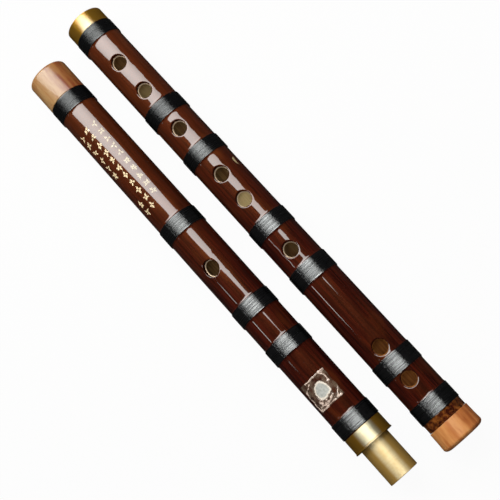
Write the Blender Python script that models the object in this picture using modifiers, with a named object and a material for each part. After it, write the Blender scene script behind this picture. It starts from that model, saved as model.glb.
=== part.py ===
"""A two-section transverse bamboo flute, taken apart, its two sections lying side by side.

Metres, +Z up, +X along the flute from the head towards the tenon and the tail. The origin is the
middle of the layout's footprint, on the surface that both sections lie on. The head section lies at
-Y and the body section at +Y. A station is a distance along a section from its -X end.
"""
import math

import bmesh
import bpy
from mathutils import Matrix

MM = 0.001

# --- driving dimensions -------------------------------------------------------------------------
SEGMENTS = 32                    # facets round every turned piece, all in line with each other
HOLE_SEGMENTS = 24
GAP = 0.15 * MM                  # glue line between pieces that sit on each other
SLIDING_GAP = 0.10 * MM

BORE_RADIUS = 8.0 * MM
HEAD_LENGTH = 270.4 * MM         # end ring to the joint's shoulder
BODY_LENGTH = 305.5 * MM
TENON_LENGTH = 22.3 * MM         # the part of the tenon that stands out
SECTION_SPACING = 35.5 * MM      # between the two axes
HEAD_OFFSET = 6.4 * MM           # the head starts this far beyond the body section's -X end
HEAD_ROLL = math.radians(10.0)   # the head lies with its holes leaning away from the body section

# bamboo outside: (station, radius), straight between stations
HEAD_BAMBOO = ((20.15 * MM, 11.45 * MM), (141.6 * MM, 11.70 * MM), (260.55 * MM, 11.50 * MM))
BODY_BAMBOO = ((8.95 * MM, 11.30 * MM), (150.0 * MM, 11.55 * MM), (293.0 * MM, 11.75 * MM))

# thread bindings: (first station, last station)
HEAD_BINDINGS = (
    (20.30 * MM, 30.1 * MM),
    (113.4 * MM, 123.4 * MM),
    (172.8 * MM, 182.7 * MM),
    (199.5 * MM, 209.4 * MM),
    (250.9 * MM, 260.4 * MM),
)
BODY_BINDINGS = (
    (9.10 * MM, 17.9 * MM),
    (67.5 * MM, 77.5 * MM),
    (99.8 * MM, 109.1 * MM),
    (153.8 * MM, 163.5 * MM),
    (186.0 * MM, 196.8 * MM),
    (250.0 * MM, 260.9 * MM),
    (277.9 * MM, 287.9 * MM),
)
BINDING_HEIGHT = 0.55 * MM
BINDING_EDGE = 0.20 * MM

# holes
BLOW_HOLE = 148.3 * MM
BLOW_HOLE_LENGTH = 9.7 * MM
BLOW_HOLE_WIDTH = 8.6 * MM
MEMBRANE_HOLE = 234.2 * MM
FINGER_HOLES = (35.9 * MM, 57.6 * MM, 86.7 * MM, 121.3 * MM, 139.7 * MM, 176.3 * MM)
FRONT_VENTS = (244.4 * MM, 265.7 * MM)
HOLE_LENGTH = 8.8 * MM           # membrane hole, finger holes and front vents, along the flute
HOLE_WIDTH = 8.3 * MM
BACK_VENT = 273.2 * MM           # two vents side by side, on the underside
BACK_VENT_DIAMETER = 6.5 * MM
BACK_VENT_SPREAD = math.radians(30.0)

# end rings
HEAD_RING_LENGTH = 20.0 * MM
HEAD_RING_RADIUS = 11.77 * MM
HEAD_RING_ROUNDING = 1.6 * MM
TAIL_RING_LENGTH = 12.35 * MM
TAIL_RING_RADIUS = 12.45 * MM
TAIL_RING_FLARE = 0.25 * MM      # the ring is this much slimmer where it meets the bamboo
TAIL_DOME_LENGTH = 2.3 * MM      # the ring's end is domed: a quarter of an ellipse in section
TAIL_DOME_HEIGHT = 3.4 * MM
SPIGOT_RADIUS = 10.0 * MM        # bamboo turned down to go inside an end ring
HEAD_SPIGOT = 12.0 * MM
TAIL_SPIGOT = 6.0 * MM

# brass joint
FERRULE_WALL = 0.70 * MM
FERRULE_FACE = 0.80 * MM
HEAD_FERRULE_LENGTH = 9.7 * MM
HEAD_FERRULE_RADIUS = 11.57 * MM
BEAD_HEIGHT = 0.35 * MM
BEAD_WIDTH = 0.90 * MM
SOCKET_FERRULE_LENGTH = 8.8 * MM
SOCKET_FERRULE_RADIUS = 11.50 * MM
TENON_RADIUS = 8.78 * MM
TENON_INSIDE = 23.8 * MM         # the part of the tenon held in the bamboo
LINER_WALL = 0.72 * MM
LINER_END = 24.0 * MM
LINER_RECESS = 0.2 * MM
TUBE_EDGE = 0.25 * MM

# small parts
STOPPER_LENGTH = 15.0 * MM
STOPPER_TO_BLOW_HOLE = 10.0 * MM
STOPPER_EDGE = 0.6 * MM
FILM_LENGTH = 17.5 * MM
FILM_ANGLE = math.radians(90.0)
FILM_THICKNESS = 0.20 * MM

# worked out from the sizes above
TENON_BORE = TENON_RADIUS + GAP
LINER_INNER = TENON_RADIUS + SLIDING_GAP
LINER_OUTER = LINER_INNER + LINER_WALL
LINER_SEAT = LINER_OUTER + GAP
HEAD_SEAT = HEAD_FERRULE_RADIUS - FERRULE_WALL - GAP
SOCKET_SEAT = SOCKET_FERRULE_RADIUS - FERRULE_WALL - GAP
TURN_X = (0.0, math.radians(90.0), 0.0)


# --- helpers --------------------------------------------------------------------------------------
def clear_scene():
    for item in list(bpy.data.objects):
        bpy.data.objects.remove(item, do_unlink=True)


def make_collection(name):
    collection = bpy.data.collections.new(name)
    bpy.context.scene.collection.children.link(collection)
    return collection


def make_material(name, colour, roughness, metallic=0.0):
    material = bpy.data.materials.new(name)
    material.use_nodes = True
    shader = material.node_tree.nodes["Principled BSDF"]
    shader.inputs["Base Color"].default_value = (*colour, 1.0)
    shader.inputs["Roughness"].default_value = roughness
    shader.inputs["Metallic"].default_value = metallic
    return material


def make_frame(collection, name, location, roll=0.0):
    """An empty on a section's axis, at its station 0."""
    frame = bpy.data.objects.new(name, None)
    frame.empty_display_size = 0.02
    frame.location = location
    frame.rotation_euler = (roll, 0.0, 0.0)
    collection.objects.link(frame)
    return frame


def bamboo_radius(outline, station):
    """Radius of the bamboo at a station, held level beyond the outline's ends."""
    if station <= outline[0][0]:
        return outline[0][1]
    for (start, first), (end, last) in zip(outline, outline[1:]):
        if station <= end:
            return first + (last - first) * (station - start) / (end - start)
    return outline[-1][1]


def arc(station, radius, size, first, last, steps):
    """Points on a rounded edge, centred at (station, radius), angles counted from the +station side."""
    points = []
    for i in range(steps + 1):
        angle = math.radians(first + (last - first) * i / steps)
        points.append((station + size * math.cos(angle), radius + size * math.sin(angle)))
    return points


def make_turned(piece, profile, station, section, solid=False):
    """A (station, radius) outline turned about the section's axis.

    piece is (name, material). The outline runs down the outside from its highest station, and comes
    back up the inside. A solid piece's outline starts and ends on the axis and isn't joined there.
    """
    name, material = piece
    mesh = bpy.data.meshes.new(name)
    vertices = [(radius, 0.0, along) for along, radius in profile]
    edges = [(i, i + 1) for i in range(len(vertices) - 1)]
    if not solid:
        edges.append((len(vertices) - 1, 0))
    mesh.from_pydata(vertices, edges, [])
    item = bpy.data.objects.new(name, mesh)
    section["collection"].objects.link(item)
    item.data.materials.append(material)
    item.parent = section["frame"]
    item.location = (station, 0.0, 0.0)
    item.rotation_euler = TURN_X
    screw = item.modifiers.new("Turn", "SCREW")
    screw.axis = "Z"
    screw.angle = math.tau
    screw.steps = SEGMENTS
    screw.render_steps = SEGMENTS
    screw.use_merge_vertices = True
    screw.merge_threshold = 0.00001
    screw.use_smooth_shade = True
    return item


def drill(tube, section, hole, length, width, roll=0.0):
    """Cuts one hole through one side of a tube. hole is (name, station)."""
    name, station = hole
    reach = 2.0 * BORE_RADIUS
    mesh = bpy.data.meshes.new(name)
    shape = bmesh.new()
    bmesh.ops.create_cone(
        shape,
        cap_ends=True,
        segments=HOLE_SEGMENTS,
        radius1=width / 2,
        radius2=width / 2,
        depth=reach,
        matrix=Matrix.Translation((0.0, 0.0, reach / 2)),
    )
    bmesh.ops.scale(shape, vec=(length / width, 1.0, 1.0), verts=shape.verts)
    shape.to_mesh(mesh)
    shape.free()
    cutter = bpy.data.objects.new(name, mesh)
    section["cutters"].objects.link(cutter)
    cutter.parent = section["frame"]
    cutter.location = (station, 0.0, 0.0)
    cutter.rotation_euler = (roll, 0.0, 0.0)
    cutter.display_type = "WIRE"
    cutter.hide_render = True
    cut = tube.modifiers.new(name, "BOOLEAN")
    cut.operation = "DIFFERENCE"
    cut.solver = "EXACT"
    cut.object = cutter


# --- pieces that both sections have -----------------------------------------------------------------
def make_bindings(prefix, stations, outline, material, section):
    for number, (first, last) in enumerate(stations, start=1):
        width = last - first
        inner = max(bamboo_radius(outline, first), bamboo_radius(outline, last)) + GAP
        outer = inner - GAP + BINDING_HEIGHT
        profile = [
            (width, outer - BINDING_EDGE),
            (width - BINDING_EDGE, outer),
            (BINDING_EDGE, outer),
            (0.0, outer - BINDING_EDGE),
            (0.0, inner),
            (width, inner),
        ]
        make_turned((f"{prefix}_{number}", material), profile, first, section)


def widest_binding(stations, outline):
    radii = [bamboo_radius(outline, station) for pair in stations for station in pair]
    return max(radii) + BINDING_HEIGHT


# --- head section ---------------------------------------------------------------------------------
def make_head_ring(material, section):
    edge = HEAD_RING_ROUNDING
    profile = [(HEAD_RING_LENGTH, HEAD_RING_RADIUS)]
    profile += arc(edge, HEAD_RING_RADIUS - edge, edge, 90.0, 180.0, 4)
    profile += [
        (0.0, BORE_RADIUS),
        (HEAD_RING_LENGTH - HEAD_SPIGOT - GAP, BORE_RADIUS),
        (HEAD_RING_LENGTH - HEAD_SPIGOT - GAP, SPIGOT_RADIUS + GAP),
        (HEAD_RING_LENGTH, SPIGOT_RADIUS + GAP),
    ]
    make_turned(("head_end_ring", material), profile, 0.0, section)


def make_head_tube(material, section):
    joint = HEAD_LENGTH - FERRULE_FACE - GAP
    tenon_seat = HEAD_LENGTH - TENON_INSIDE - GAP
    spigot = HEAD_RING_LENGTH - HEAD_SPIGOT
    shoulder, first = HEAD_BAMBOO[0]
    profile = [(joint, HEAD_SEAT), (HEAD_BAMBOO[-1][0], HEAD_SEAT)]
    profile += reversed(HEAD_BAMBOO[1:])
    profile += [
        (shoulder, first),
        (shoulder, SPIGOT_RADIUS),
        (spigot, SPIGOT_RADIUS),
        (spigot, BORE_RADIUS),
        (tenon_seat, BORE_RADIUS),
        (tenon_seat, TENON_BORE),
        (joint, TENON_BORE),
    ]
    tube = make_turned(("head_bamboo_tube", material), profile, 0.0, section)
    drill(tube, section, ("cut_blow_hole", BLOW_HOLE), BLOW_HOLE_LENGTH, BLOW_HOLE_WIDTH)
    drill(tube, section, ("cut_membrane_hole", MEMBRANE_HOLE), HOLE_LENGTH, HOLE_WIDTH)


def make_head_ferrule(material, section):
    length = HEAD_FERRULE_LENGTH
    bead = BEAD_WIDTH / 2
    profile = arc(length - bead, HEAD_FERRULE_RADIUS + BEAD_HEIGHT - bead, bead, 0.0, 150.0, 5)
    profile += [
        (length - BEAD_WIDTH, HEAD_FERRULE_RADIUS),
        (TUBE_EDGE, HEAD_FERRULE_RADIUS),
        (0.0, HEAD_FERRULE_RADIUS - TUBE_EDGE),
        (0.0, HEAD_SEAT + GAP),
        (length - FERRULE_FACE, HEAD_SEAT + GAP),
        (length - FERRULE_FACE, TENON_BORE),
        (length, TENON_BORE),
    ]
    make_turned(("head_joint_ferrule", material), profile, HEAD_LENGTH - length, section)


def make_tenon(material, section):
    length = TENON_INSIDE + TENON_LENGTH
    profile = [
        (length, TENON_RADIUS - TUBE_EDGE),
        (length - TUBE_EDGE, TENON_RADIUS),
        (0.0, TENON_RADIUS),
        (0.0, BORE_RADIUS),
        (length, BORE_RADIUS),
    ]
    make_turned(("joint_tenon", material), profile, HEAD_LENGTH - TENON_INSIDE, section)


def make_stopper(material, section):
    radius = BORE_RADIUS - SLIDING_GAP
    profile = [
        (STOPPER_LENGTH, 0.0),
        (STOPPER_LENGTH, radius - STOPPER_EDGE),
        (STOPPER_LENGTH - STOPPER_EDGE, radius),
        (STOPPER_EDGE, radius),
        (0.0, radius - STOPPER_EDGE),
        (0.0, 0.0),
    ]
    start = BLOW_HOLE - STOPPER_TO_BLOW_HOLE - STOPPER_LENGTH
    make_turned(("stopper_cork", material), profile, start, section, solid=True)


def make_film(material, section):
    """The square film over the membrane hole: a sheet bent round the bamboo."""
    first = MEMBRANE_HOLE - FILM_LENGTH / 2
    widest = max(bamboo_radius(HEAD_BAMBOO, first), bamboo_radius(HEAD_BAMBOO, first + FILM_LENGTH))
    radius = widest + GAP
    steps = round(FILM_ANGLE / math.tau * SEGMENTS)
    mesh = bpy.data.meshes.new("membrane_film")
    mesh.from_pydata([(radius, 0.0, FILM_LENGTH), (radius, 0.0, 0.0)], [(0, 1)], [])
    film = bpy.data.objects.new("membrane_film", mesh)
    section["collection"].objects.link(film)
    film.data.materials.append(material)
    film.parent = section["frame"]
    film.location = (first, 0.0, 0.0)
    film.rotation_euler = TURN_X
    start = math.pi - FILM_ANGLE / 2
    film.data.transform(Matrix.Rotation(start, 4, "Z"))
    bend = film.modifiers.new("Bend", "SCREW")
    bend.axis = "Z"
    bend.angle = FILM_ANGLE
    bend.steps = steps
    bend.render_steps = steps
    thicken = film.modifiers.new("Thicken", "SOLIDIFY")
    thicken.thickness = FILM_THICKNESS
    thicken.offset = 1.0


# --- body section ---------------------------------------------------------------------------------
def make_socket_ferrule(material, section):
    length = SOCKET_FERRULE_LENGTH
    radius = SOCKET_FERRULE_RADIUS
    profile = [
        (length, radius - TUBE_EDGE),
        (length - TUBE_EDGE, radius),
        (2 * TUBE_EDGE, radius),
        (0.0, radius - 2 * TUBE_EDGE),
        (0.0, LINER_SEAT),
        (FERRULE_FACE, LINER_SEAT),
        (FERRULE_FACE, SOCKET_SEAT + GAP),
        (length, SOCKET_SEAT + GAP),
    ]
    make_turned(("joint_socket_ferrule", material), profile, 0.0, section)


def make_socket_liner(material, section):
    length = LINER_END - LINER_RECESS
    profile = [
        (length, LINER_OUTER),
        (0.0, LINER_OUTER),
        (0.0, LINER_INNER + TUBE_EDGE),
        (TUBE_EDGE, LINER_INNER),
        (length, LINER_INNER),
    ]
    make_turned(("joint_socket_liner", material), profile, LINER_RECESS, section)


def make_body_tube(material, section):
    joint = FERRULE_FACE + GAP
    liner_seat = LINER_END + GAP
    shoulder, last = BODY_BAMBOO[-1]
    spigot = shoulder + TAIL_SPIGOT
    profile = [
        (spigot, SPIGOT_RADIUS),
        (shoulder, SPIGOT_RADIUS),
        (shoulder, last),
    ]
    profile += reversed(BODY_BAMBOO[:-1])
    profile += [
        (BODY_BAMBOO[0][0], SOCKET_SEAT),
        (joint, SOCKET_SEAT),
        (joint, LINER_SEAT),
        (liner_seat, LINER_SEAT),
        (liner_seat, BORE_RADIUS),
        (spigot, BORE_RADIUS),
    ]
    tube = make_turned(("body_bamboo_tube", material), profile, 0.0, section)
    for number, station in zip(range(6, 0, -1), FINGER_HOLES):
        hole = (f"cut_finger_hole_{number}", station)
        drill(tube, section, hole, HOLE_LENGTH, HOLE_WIDTH)
    for number, station in enumerate(FRONT_VENTS, start=1):
        hole = (f"cut_front_vent_{number}", station)
        drill(tube, section, hole, HOLE_LENGTH, HOLE_WIDTH)
    for number, side in enumerate((-1, 1), start=1):
        hole = (f"cut_back_vent_{number}", BACK_VENT)
        roll = math.pi + side * BACK_VENT_SPREAD
        drill(tube, section, hole, BACK_VENT_DIAMETER, BACK_VENT_DIAMETER, roll)


def make_tail_ring(material, section):
    length = TAIL_RING_LENGTH
    seat = TAIL_SPIGOT
    profile = []
    for along, across in arc(0.0, 0.0, 1.0, 0.0, 90.0, 6):
        station = length - TAIL_DOME_LENGTH * (1.0 - along)
        profile.append((station, TAIL_RING_RADIUS - TAIL_DOME_HEIGHT * (1.0 - across)))
    profile += [
        (TUBE_EDGE, TAIL_RING_RADIUS - TAIL_RING_FLARE),
        (0.0, TAIL_RING_RADIUS - TAIL_RING_FLARE - TUBE_EDGE),
        (0.0, SPIGOT_RADIUS + GAP),
        (seat, SPIGOT_RADIUS + GAP),
        (seat, BORE_RADIUS),
        (length, BORE_RADIUS),
    ]
    make_turned(("tail_end_ring", material), profile, BODY_LENGTH - length, section)


# --- assembly -------------------------------------------------------------------------------------
def build():
    clear_scene()
    parts = make_collection("bamboo_flute")
    cutters = make_collection("cutters")

    bamboo = make_material("bamboo", (0.16, 0.035, 0.015), 0.22)
    thread = make_material("thread", (0.012, 0.012, 0.013), 0.40)
    bone = make_material("bone", (0.62, 0.27, 0.08), 0.28)
    brass = make_material("brass", (0.78, 0.60, 0.25), 0.22, 1.0)
    cork = make_material("cork", (0.50, 0.32, 0.18), 0.85)
    film_material = make_material("film", (0.80, 0.72, 0.62), 0.35)

    head_reach = max(widest_binding(HEAD_BINDINGS, HEAD_BAMBOO), HEAD_RING_RADIUS)
    body_reach = max(widest_binding(BODY_BINDINGS, BODY_BAMBOO), TAIL_RING_RADIUS)
    centre = (head_reach - body_reach) / 2
    body_x = -BODY_LENGTH / 2
    head_place = (body_x + HEAD_OFFSET, centre - SECTION_SPACING / 2, head_reach)
    body_place = (body_x, centre + SECTION_SPACING / 2, body_reach)
    head = {
        "collection": parts,
        "cutters": cutters,
        "frame": make_frame(parts, "head_section_axis", head_place, HEAD_ROLL),
    }
    body = {
        "collection": parts,
        "cutters": cutters,
        "frame": make_frame(parts, "body_section_axis", body_place),
    }

    make_head_ring(bone, head)
    make_head_tube(bamboo, head)
    make_bindings("head_binding", HEAD_BINDINGS, HEAD_BAMBOO, thread, head)
    make_head_ferrule(brass, head)
    make_tenon(brass, head)
    make_stopper(cork, head)
    make_film(film_material, head)

    make_socket_ferrule(brass, body)
    make_socket_liner(brass, body)
    make_body_tube(bamboo, body)
    make_bindings("body_binding", BODY_BINDINGS, BODY_BAMBOO, thread, body)
    make_tail_ring(bone, body)


build()
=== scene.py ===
"""The looks of a two-section transverse bamboo flute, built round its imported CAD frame.

Every piece is built in its section's own frame: X along the section, counted as a station from the
section's -X end, and an angle round the axis counted from the top towards -Y. Metres throughout.
"""

import math
import random
from collections import namedtuple

import bmesh
import bpy
import numpy as np
from mathutils import Matrix, Vector, noise


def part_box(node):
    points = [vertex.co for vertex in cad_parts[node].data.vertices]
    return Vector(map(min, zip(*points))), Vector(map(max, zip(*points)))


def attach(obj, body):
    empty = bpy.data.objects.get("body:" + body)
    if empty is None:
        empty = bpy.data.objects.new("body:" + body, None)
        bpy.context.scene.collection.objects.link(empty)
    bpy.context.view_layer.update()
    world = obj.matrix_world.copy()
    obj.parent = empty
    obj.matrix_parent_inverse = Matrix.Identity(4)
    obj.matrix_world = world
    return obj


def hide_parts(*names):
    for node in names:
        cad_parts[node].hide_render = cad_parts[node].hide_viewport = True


MM = 0.001
TINY = 1e-6                      # allowance for rounding in comparisons

# --- meshes ---
COLUMNS = 128                    # facets round a tube
ROW_SPACING = 4.0 * MM           # longest step of the mesh along a tube
BLOCK_ROWS = 14                  # rows of mesh across a hole
BLOCK_MARGIN = 3.0 * MM          # mesh kept free round a hole, along the tube
HOLE_BLOCK = math.radians(45.0)  # the same round the tube, as half an angle
BACK_BLOCK = math.radians(30.1)
RIM_STEPS = 6                    # steps in the rounding of a hole's rim
CREASE = 38.0                    # degrees that an edge may bend before it is shown sharp
THREAD_CREASE = 70.0

# --- bamboo ---
HEAD_ROLL = math.radians(10.0)

# the outside of each tube, as (station, radius)
HEAD_BAMBOO = ((20.15 * MM, 11.45 * MM), (141.6 * MM, 11.70 * MM), (260.55 * MM, 11.50 * MM))
BODY_BAMBOO = ((8.95 * MM, 11.30 * MM), (150.0 * MM, 11.55 * MM), (293.0 * MM, 11.75 * MM))

BORE = 8.0 * MM
SPIGOT = 10.0 * MM               # bamboo under the end rings
SEAT = 10.7 * MM                 # bamboo under the brass ferrules
TENON_SEAT = 8.93 * MM
LINER_SEAT = 9.75 * MM
GLUE = 0.15 * MM                 # clearance between pieces that sit on each other in the CAD
WAVES = 0.035 * MM               # height of the outside's slow waves
WAVES_FROM = 10.9 * MM           # radius above which they show
WAVES_RISE = 0.6 * MM
BARE_WOOD = 8.95 * MM            # radius below which the walls of the holes have no lacquer

# lacquer pooled against a binding: (distance from its edge, rise) in millimetres
LACQUER_FILLET = ((1.4, 0.0), (1.0, 0.01), (0.5, 0.06), (0.2, 0.15), (0.0, 0.27), (-0.4, 0.0))

# --- holes ---
Hole = namedtuple("Hole", "station half_length half_width angle half_block rim")

BLOW_RIM = 0.45 * MM
FINGER_RIM = 0.70 * MM
BORE_RIM = 0.20 * MM
HALF_LENGTH = 4.40 * MM
HALF_WIDTH = 4.15 * MM
LEDGE_DEPTH = 2.55 * MM          # the wall of a hole leans inwards below this depth
LEDGE = 0.40 * MM

# the leaning wall: (share of the ledge, further depth in millimetres)
LEDGE_CURVE = ((0.25, 0.08), (0.75, 0.26), (1.0, 0.45))

BLOW_HOLE = Hole(148.3 * MM, 4.85 * MM, 4.3 * MM, 0.0, HOLE_BLOCK, BLOW_RIM)
MEMBRANE_HOLE = Hole(234.2 * MM, HALF_LENGTH, HALF_WIDTH, 0.0, HOLE_BLOCK, BLOW_RIM)
FINGER_STATIONS = (35.9 * MM, 57.6 * MM, 86.7 * MM, 121.3 * MM, 139.7 * MM, 176.3 * MM)
VENT_STATIONS = (244.4 * MM, 265.7 * MM)
BACK_VENT_STATION = 273.2 * MM
BACK_VENT_RADIUS = 3.25 * MM
BACK_VENT_SPREAD = math.radians(30.0)

# painted light on the body section's bore under two finger holes, a paler bamboo colour standing in
# for light through the holes: (station, reach along the bore, share)
PAINTED_LIGHT_PATCHES = ((57.6 * MM, 12.0 * MM, 0.30), (139.7 * MM, 11.0 * MM, 1.0))

# --- thread ---
THREAD_WIDTH = 0.50 * MM
THREAD_PITCH = 0.46 * MM
THREAD_CROWN = 0.08 * MM         # how far the flattened top of the thread bulges
THREAD_WANDER = 0.07 * MM        # unevenness along the tube
THREAD_LIFT = 0.02 * MM          # unevenness in height
THREAD_SIDES = 8
THREAD_STEPS = 72                # segments in one turn of thread

# --- end rings and brass ---
HEAD_RING_ROUNDING = 1.7 * MM
BORE_ROUNDING = 0.5 * MM         # where a bore meets the end of a ring
DOME_LENGTH = 2.3 * MM           # the rounded end of the tail ring
DOME_HEIGHT = 3.4 * MM
DOME_STEPS = 12
TAIL_WAIST = 0.30 * MM           # how much slimmer the tail ring is where it meets the bamboo
TAIL_MIDDLE = 0.20 * MM          # and halfway along
BEAD = 0.9 * MM                  # width of the bead at the end of the head's ferrule
BEAD_HEIGHT = 0.33 * MM
END_WALL = 0.8 * MM              # of a ferrule, over the end of the bamboo
LINER_WALL = 0.72 * MM
CORK_ROUNDING = 0.7 * MM

# --- film ---
FILM_CELLS = 96
FILM_HALF_ANGLE = math.radians(44.0)
FILM_TRIM = 0.97                 # share of the CAD film's length
FILM_RAGGED = 0.05               # how far its edges wander, as a share of half its size
FILM_GAP = 0.06 * MM             # under the film where it lies flat
FILM_THICKNESS = 0.03 * MM
FILM_CRINKLE = 0.03 * MM
FILM_RISE = 0.22 * MM            # height of its creases
DISC_ANGLE = math.radians(-4.0)  # the free disc of film over the membrane hole
DISC_RADIUS = 4.75 * MM
DISC_SAG = 0.16 * MM

# creases where the film stands off the lacquer: (start, end, half width), places as shares of the
# film's half length and half breadth
FILM_CREASES = (
    ((-0.96, -0.97), (-0.92, 0.45), 0.060),
    ((-0.96, -0.97), (-0.90, -0.70), 0.110),
    ((-0.80, -0.72), (-0.20, -0.86), 0.050),
    ((-0.30, -0.80), (0.45, -0.25), 0.055),
    ((0.45, -0.25), (0.78, 0.35), 0.070),
    ((0.42, -0.90), (0.90, -0.70), 0.055),
    ((0.92, -0.85), (0.94, 0.95), 0.060),
    ((0.40, 0.30), (0.93, 0.92), 0.170),
    ((0.62, -0.40), (0.80, 0.30), 0.090),
    ((-0.50, 0.90), (0.92, 0.95), 0.070),
    ((-0.86, 0.10), (-0.50, 0.80), 0.050),
)

# --- gold work ---
GOLD_GAP = 0.012 * MM
GOLD_THICKNESS = 0.035 * MM
LEAF_STEPS = 10
SPRIG_SPACING = 5.6 * MM
SPRIG_EYE = 0.25 * MM            # from a sprig's middle to where its leaves start

# rows of painted sprigs on the head: (first station, how many, angle round the tube)
SPRIG_ROWS = (
    (44.8 * MM, 10, math.radians(-26.0)),
    (44.8 * MM, 11, math.radians(4.0)),
    (45.6 * MM, 6, math.radians(31.0)),
    (95.6 * MM, 2, math.radians(31.0)),
)
BODY_LEAF_STATION = 117.3 * MM
BODY_LEAF_ANGLE = math.radians(-65.0)

# --- studio ---
# the camera and its target, counted from the body section's axis
CAMERA_STATION = 286.7 * MM
CAMERA_ASIDE = 46.1 * MM
CAMERA_HEIGHT = 583.0 * MM
TARGET_STATION = 159.5 * MM
TARGET_ASIDE = -16.9 * MM
LENS = 81.36
SENSOR = 36.0
FLUTE_SLOPE = math.radians(-47.8)    # the flute's direction in the picture

# lights, as corners counted from the camera's foot: right and up along the picture's axes
MAIN_LIGHT = ((0.085, 0.352), (0.23, 1.20), (-1.50, 1.25), (-1.50, -0.05))
SMALL_LIGHT = ((-1.08, -0.64), (-0.94, -0.59), (-1.12, -0.47), (-1.22, -0.52))
FILL_LIGHT = ((-0.20, -0.20), (0.20, -0.20), (0.20, 0.20), (-0.20, 0.20))
LIGHT_HEIGHT = 0.89
BACKDROP = 0.92                  # strength of the room as the camera sees it
FLOOR_REACH = 3.0

rng = random.Random(7)


# --- sections ---
class Section:
    """One section of the flute: the CAD body it rides on, and the frame its pieces are built in."""

    def __init__(self, body, end_node, tube_node, roll):
        low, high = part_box(tube_node)
        middle = (low + high) / 2
        self.body = body
        self.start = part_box(end_node)[0].x
        self.axis = Vector((self.start, middle.y, middle.z))
        self.matrix = Matrix.Translation(self.axis) @ Matrix.Rotation(roll, 4, "X")

    def span(self, node):
        """(first station, last station, outer radius) of a round CAD node."""
        low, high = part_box(node)
        return low.x - self.start, high.x - self.start, (high.z - low.z) / 2


def polar(station, radius, angle):
    return (station, -radius * math.sin(angle), radius * math.cos(angle))


def add_piece(name, mesh, section, material, slot, *nodes, crease=CREASE):
    """Puts a mesh into the scene in its section's frame, on its body, in place of CAD nodes.

    Glossy surfaces mirror the studio and not the other section.
    """
    piece = bpy.data.objects.new(name, mesh)
    bpy.context.scene.collection.objects.link(piece)
    piece.matrix_world = section.matrix
    mesh.materials.append(material)
    mesh.shade_smooth()
    mesh.set_sharp_from_angle(angle=math.radians(crease))
    piece.visible_glossy = False
    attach(piece, section.body)
    if nodes:
        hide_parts(*nodes)
    return piece


# --- mesh building ---
def mesh_from(name, vertices, faces):
    """A mesh with its loose vertices dropped and its faces turned outwards."""
    used = sorted({corner for face in faces for corner in face})
    place = {old: new for new, old in enumerate(used)}
    mesh = bpy.data.meshes.new(name)
    mesh.from_pydata(
        [vertices[i] for i in used], [], [tuple(place[i] for i in face) for face in faces]
    )
    turn_outwards(mesh)
    return mesh


def turn_outwards(mesh):
    shape = bmesh.new()
    shape.from_mesh(mesh)
    bmesh.ops.recalc_face_normals(shape, faces=shape.faces)
    shape.to_mesh(mesh)
    shape.free()


def filleted(corners, steps=5):
    """A closed outline of (station, radius, rounding) corners as (station, radius) points."""
    points = []
    count = len(corners)
    for i, (station, radius, rounding) in enumerate(corners):
        here = Vector((station, radius))
        if rounding <= 0.0:
            points.append((station, radius))
            continue
        before = (Vector(corners[i - 1][:2]) - here).normalized()
        after = (Vector(corners[(i + 1) % count][:2]) - here).normalized()
        half = before.angle(after) / 2
        centre = here + (before + after).normalized() * rounding / math.sin(half)
        first = here + before * rounding / math.tan(half) - centre
        last = here + after * rounding / math.tan(half) - centre
        for k in range(steps + 1):
            spoke = first.lerp(last, k / steps).normalized() * rounding
            points.append(tuple(centre + spoke))
    return points


def turned(name, outline, closed=True):
    """A (station, radius) outline turned round the axis. An open outline starts and ends on it."""
    vertices = []
    rows = []
    for station, radius in outline:
        if radius < TINY:
            rows.append([len(vertices)] * COLUMNS)
            vertices.append((station, 0.0, 0.0))
            continue
        rows.append(list(range(len(vertices), len(vertices) + COLUMNS)))
        vertices += [polar(station, radius, math.tau * c / COLUMNS) for c in range(COLUMNS)]
    pairs = list(zip(rows, rows[1:]))
    if closed:
        pairs.append((rows[-1], rows[0]))
    faces = []
    for row, other in pairs:
        for c in range(COLUMNS):
            d = (c + 1) % COLUMNS
            ring = [row[c], row[d], other[d], other[c]]
            face = list(dict.fromkeys(ring))
            if len(face) > 2:
                faces.append(face)
    return mesh_from(name, vertices, faces)


def radius_at(profile, station):
    """Radius on a (station, radius) line whose stations go one way."""
    stations = [p[0] for p in profile]
    radii = [p[1] for p in profile]
    if stations[0] > stations[-1]:
        stations.reverse()
        radii.reverse()
    return float(np.interp(station, stations, radii))


def with_rows(profile, stations):
    """The profile with extra points on it at the stations given."""
    rows = list(profile)
    for station in stations:
        for i in range(len(rows) - 1):
            low, high = sorted((rows[i][0], rows[i + 1][0]))
            if low < station < high:
                share = (station - rows[i][0]) / (rows[i + 1][0] - rows[i][0])
                radius = rows[i][1] + (rows[i + 1][1] - rows[i][1]) * share
                rows.insert(i + 1, (station, radius))
                break
    return rows


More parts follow.
